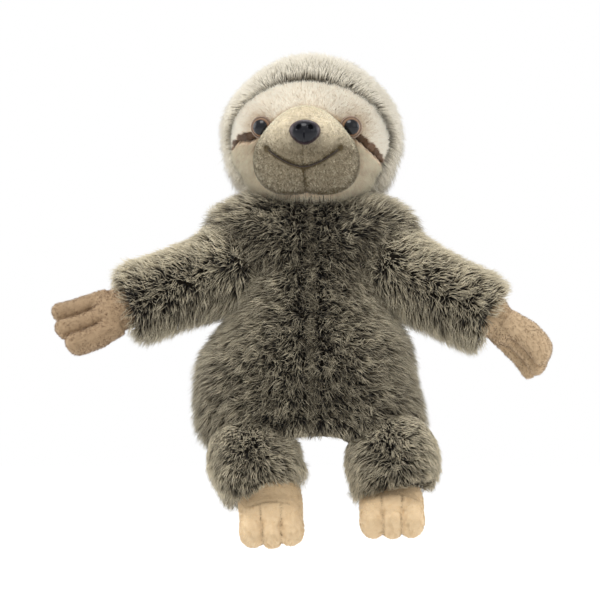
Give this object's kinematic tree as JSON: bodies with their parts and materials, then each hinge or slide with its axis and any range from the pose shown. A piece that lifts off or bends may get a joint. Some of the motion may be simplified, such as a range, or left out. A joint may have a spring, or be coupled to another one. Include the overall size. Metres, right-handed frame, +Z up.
{
  "type": "sloth hand puppet",
  "caption": "Long-pile plush sloth hand puppet with a hooded head, smiling velour muzzle, two finger arms and two stuffed legs, opened at the seat for a hand.",
  "frame": {"origin": "centre of the hand opening, level with the underside of the seat", "axes": "+Z up through the neck, the face looks along -Y, +X is the viewer's right"},
  "size_m": [0.3073, 0.1202, 0.2955],
  "materials": {
    "body_fur": "long frosted plush pile, dark roots and pale tips",
    "hood_fur": "long frosted plush pile, paler than the body",
    "brow_plush": "short cream plush",
    "stripe_plush": "short dark brown plush",
    "cheek_plush": "medium beige grey plush",
    "muzzle_velour": "short taupe velour",
    "paw_velour": "short tan velour",
    "thread": "embroidery thread",
    "nose_plastic": "gloss",
    "eye_plastic": "high gloss",
    "washer_plastic": "moulded",
    "stuffing": "loose polyester fibre",
    "lining": "smooth woven lining",
    "tape": "woven seam tape"
  },
  "bodies": {
    "torso": {"front_panel_left": "body_fur", "front_panel_right": "body_fur", "back_panel": "body_fur", "seat_gusset": "body_fur", "hem_binding": "tape", "body_lining": "lining"},
    "neck_tape": {"neck_seam_tape": "tape"},
    "neck_edge": {"neck_edging": "tape"},
    "head": {"hood_left": "hood_fur", "hood_right": "hood_fur", "brow_panel": "brow_plush", "eye_stripe_left": "stripe_plush", "eye_stripe_right": "stripe_plush", "cheek_left": "cheek_plush", "cheek_right": "cheek_plush", "muzzle_upper": "muzzle_velour", "muzzle_lower_left": "muzzle_velour", "muzzle_lower_right": "muzzle_velour", "muzzle_stuffing": "stuffing", "smile_stitch": "thread", "nose": "nose_plastic", "nose_washer": "washer_plastic", "eye_left": "eye_plastic", "eye_right": "eye_plastic", "eye_washer_left": "washer_plastic", "eye_washer_right": "washer_plastic", "head_stuffing": "stuffing", "finger_pocket": "lining"},
    "shoulder_left": {"armhole_tape_left": "tape"},
    "arm_left": {"sleeve_left": "body_fur", "arm_lining_left": "lining"},
    "hand_left": {"hand_cover_left": "paw_velour", "hand_stuffing_left": "stuffing"},
    "shoulder_right": {"armhole_tape_right": "tape"},
    "arm_right": {"sleeve_right": "body_fur", "arm_lining_right": "lining"},
    "hand_right": {"hand_cover_right": "paw_velour", "hand_stuffing_right": "stuffing"},
    "hip_left": {"hip_tape_left": "tape"},
    "leg_left": {"leg_fur_left": "body_fur", "leg_stuffing_left": "stuffing"},
    "foot_left": {"foot_cover_left": "paw_velour", "foot_stuffing_left": "stuffing"},
    "hip_right": {"hip_tape_right": "tape"},
    "leg_right": {"leg_fur_right": "body_fur", "leg_stuffing_right": "stuffing"},
    "foot_right": {"foot_cover_right": "paw_velour", "foot_stuffing_right": "stuffing"}
  },
  "joints": [
    {"name": "head_turn", "type": "hinge", "parent": "torso", "child": "neck_tape", "pos_m": [0, -0.022, 0.136], "axis": [0, 0, 1], "range_deg": [-45, 45], "stiffness_Nm_per_rad": 0.5},
    {"name": "head_tilt", "type": "hinge", "parent": "neck_tape", "child": "neck_edge", "pos_m": [0, -0.022, 0.136], "axis": [0, 1, 0], "range_deg": [-12, 12], "stiffness_Nm_per_rad": 0.8},
    {"name": "head_nod", "type": "hinge", "parent": "neck_edge", "child": "head", "pos_m": [0, -0.022, 0.136], "axis": [1, 0, 0], "range_deg": [-20, 18], "stiffness_Nm_per_rad": 0.8},
    {"name": "arm_reach_left", "type": "hinge", "parent": "torso", "child": "shoulder_left", "pos_m": [-0.046, -0.024, 0.105], "axis": [0, 0, 1], "range_deg": [-20, 32], "stiffness_Nm_per_rad": 0.35},
    {"name": "arm_lift_left", "type": "hinge", "parent": "shoulder_left", "child": "arm_left", "pos_m": [-0.046, -0.024, 0.105], "axis": [0, 1, 0], "range_deg": [-13, 48], "stiffness_Nm_per_rad": 0.35},
    {"name": "wrist_bend_left", "type": "hinge", "parent": "arm_left", "child": "hand_left", "pos_m": [-0.11178, -0.024, 0.08106], "axis": [0, 1, 0], "range_deg": [-25, 25], "stiffness_Nm_per_rad": 0.08},
    {"name": "arm_reach_right", "type": "hinge", "parent": "torso", "child": "shoulder_right", "pos_m": [0.046, -0.024, 0.105], "axis": [0, 0, -1], "range_deg": [-20, 32], "stiffness_Nm_per_rad": 0.35},
    {"name": "arm_lift_right", "type": "hinge", "parent": "shoulder_right", "child": "arm_right", "pos_m": [0.046, -0.024, 0.105], "axis": [0, -1, 0], "range_deg": [-9, 50], "stiffness_Nm_per_rad": 0.35},
    {"name": "wrist_bend_right", "type": "hinge", "parent": "arm_right", "child": "hand_right", "pos_m": [0.10892, -0.024, 0.07431], "axis": [0, -1, 0], "range_deg": [-10, 40], "stiffness_Nm_per_rad": 0.08},
    {"name": "leg_swing_left", "type": "hinge", "parent": "torso", "child": "hip_left", "pos_m": [-0.039, -0.047, -0.006], "axis": [-1, 0, 0], "range_deg": [-15, 40], "stiffness_Nm_per_rad": 0.25},
    {"name": "leg_splay_left", "type": "hinge", "parent": "hip_left", "child": "leg_left", "pos_m": [-0.039, -0.047, -0.006], "axis": [0, 1, 0], "range_deg": [-4, 38], "stiffness_Nm_per_rad": 0.25},
    {"name": "ankle_bend_left", "type": "hinge", "parent": "leg_left", "child": "foot_left", "pos_m": [-0.02851, -0.047, -0.03196], "axis": [-0.9272, 0, -0.3746], "range_deg": [-25, 15], "stiffness_Nm_per_rad": 0.1},
    {"name": "leg_swing_right", "type": "hinge", "parent": "torso", "child": "hip_right", "pos_m": [0.045, -0.047, -0.006], "axis": [-1, 0, 0], "range_deg": [-15, 40], "stiffness_Nm_per_rad": 0.25},
    {"name": "leg_splay_right", "type": "hinge", "parent": "hip_right", "child": "leg_right", "pos_m": [0.045, -0.047, -0.006], "axis": [0, -1, 0], "range_deg": [-15, 25], "stiffness_Nm_per_rad": 0.25},
    {"name": "ankle_bend_right", "type": "hinge", "parent": "leg_right", "child": "foot_right", "pos_m": [0.04695, -0.047, -0.03393], "axis": [-0.9976, 0, -0.0698], "range_deg": [-40, 8], "stiffness_Nm_per_rad": 0.1}
  ]
}
